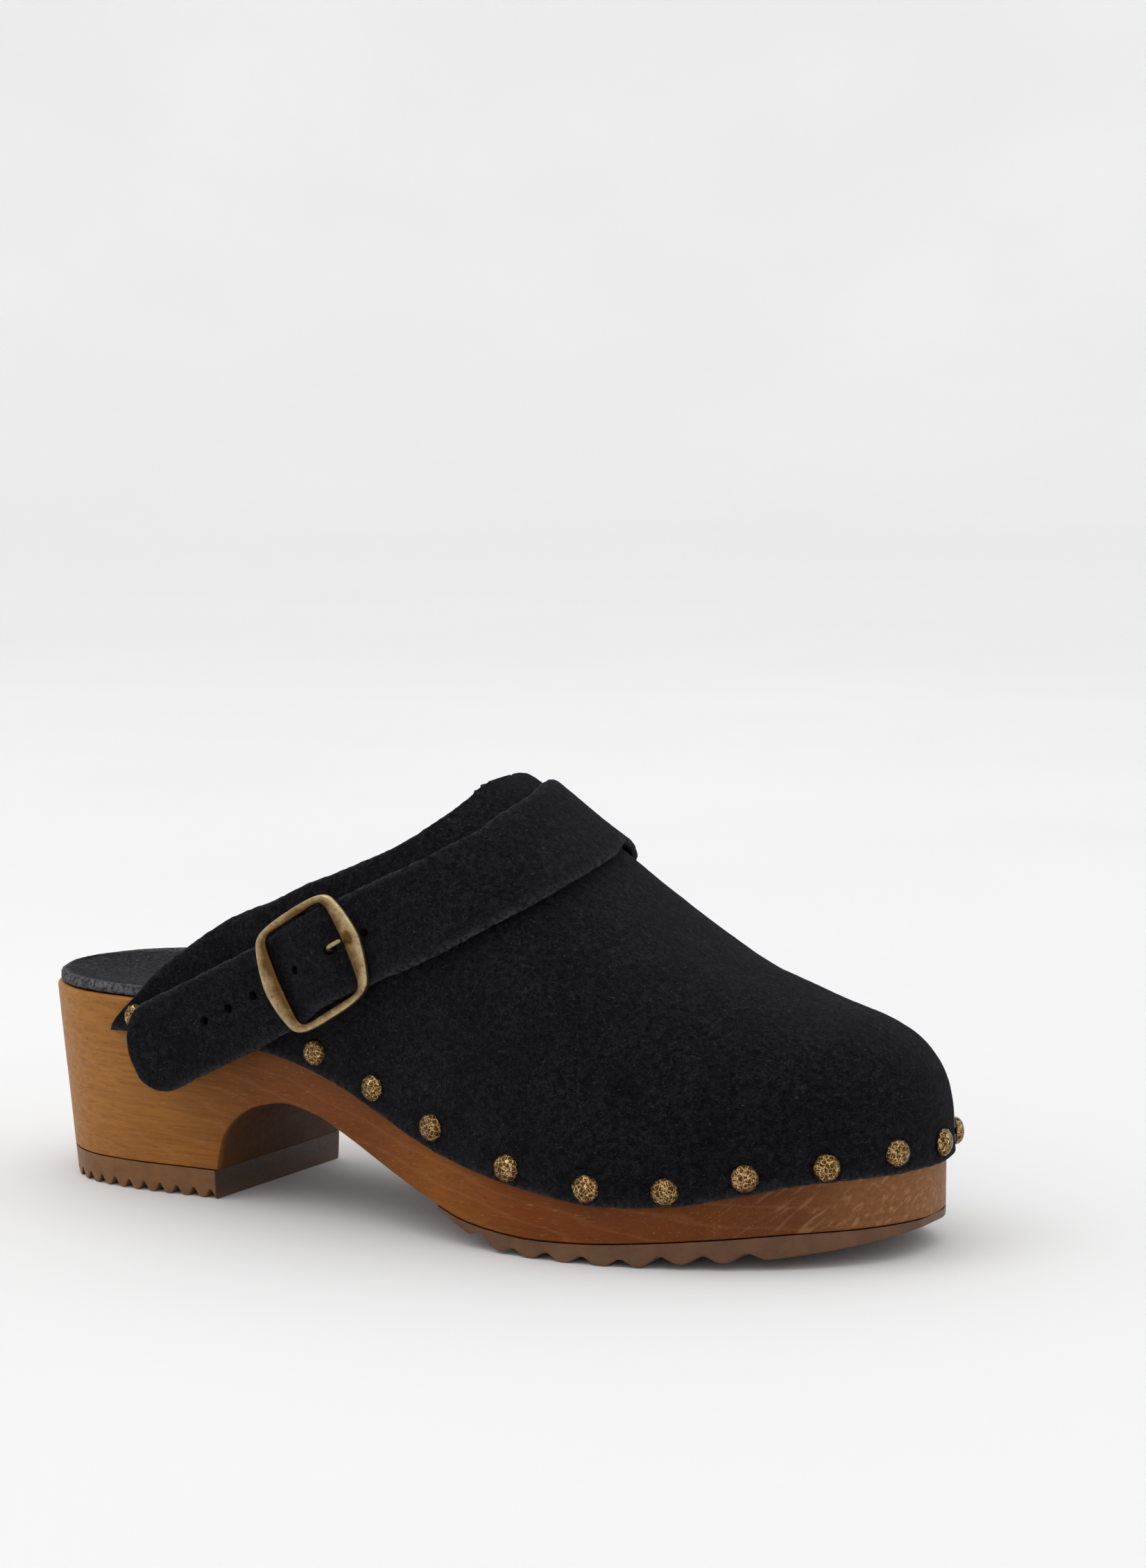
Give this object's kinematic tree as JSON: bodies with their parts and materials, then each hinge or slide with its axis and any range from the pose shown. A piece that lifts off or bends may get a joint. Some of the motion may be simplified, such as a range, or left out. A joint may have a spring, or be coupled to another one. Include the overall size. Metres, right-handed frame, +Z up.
{
  "type": "clog",
  "caption": "Wooden-soled clog for the right foot with a suede vamp nailed round the edge, a swinging instep strap with buckle, and ribbed rubber treads.",
  "frame": {"origin": "under the middle of the clog's box, on the floor", "axes": "+X from heel to toe, +Y to the inner (big-toe) side of the foot, +Z up"},
  "size_m": [0.2522, 0.1017, 0.1106],
  "materials": {
    "sole_wood": "oiled, satin, with fine near-level grain and small scratches",
    "tread_rubber": "translucent amber-brown crepe-like rubber, satin",
    "upper_suede": "black-navy suede with a short visible nap, fully matte, fuzzy lighter cut edges",
    "insole_suede": "dark grey-navy suede, matte",
    "stiffener": "plain stiffener sheet, hidden",
    "buckle_brass": "antique brass, brushed, dark in its hollows and worn bright on its edges",
    "nail_brass": "antique brass, hammered domes with dark dimples"
  },
  "bodies": {
    "clog_body": {"wooden_sole": "sole_wood", "heel_tread": "tread_rubber", "forepart_tread": "tread_rubber", "insole_cover": "insole_suede", "vamp": "upper_suede", "toe_puff": "stiffener", "nail_outer_1": "nail_brass", "nail_outer_2": "nail_brass", "nail_outer_3": "nail_brass", "nail_outer_4": "nail_brass", "nail_outer_5": "nail_brass", "nail_outer_6": "nail_brass", "nail_outer_7": "nail_brass", "nail_toe_1": "nail_brass", "nail_toe_2": "nail_brass", "nail_toe_3": "nail_brass", "nail_toe_4": "nail_brass", "nail_toe_5": "nail_brass", "nail_toe_6": "nail_brass", "nail_toe_7": "nail_brass", "nail_toe_8": "nail_brass", "nail_inner_1": "nail_brass", "nail_inner_2": "nail_brass", "nail_inner_3": "nail_brass", "nail_inner_4": "nail_brass", "nail_inner_5": "nail_brass", "nail_inner_6": "nail_brass", "nail_inner_7": "nail_brass", "chape_tack": "nail_brass", "strap_nail": "nail_brass"},
    "strap": {"strap": "upper_suede", "buckle_chape": "upper_suede"},
    "buckle": {"buckle_frame": "buckle_brass"},
    "prong": {"buckle_prong": "buckle_brass"}
  },
  "joints": [
    {"name": "strap_swing", "type": "hinge", "parent": "clog_body", "child": "strap", "pos_m": [-0.0661, 0, 0.044], "axis": [0, -1, 0], "range_deg": [0, 80]},
    {"name": "buckle_tilt", "type": "hinge", "parent": "strap", "child": "buckle", "pos_m": [-0.02301, -0.04004, 0.06656], "axis": [0.4696, -0.1383, -0.872], "range_deg": [-1, 1]},
    {"name": "prong_tilt", "type": "hinge", "parent": "buckle", "child": "prong", "pos_m": [-0.02301, -0.04004, 0.06656], "axis": [0.4696, -0.1383, -0.872], "range_deg": [0, 5]}
  ]
}
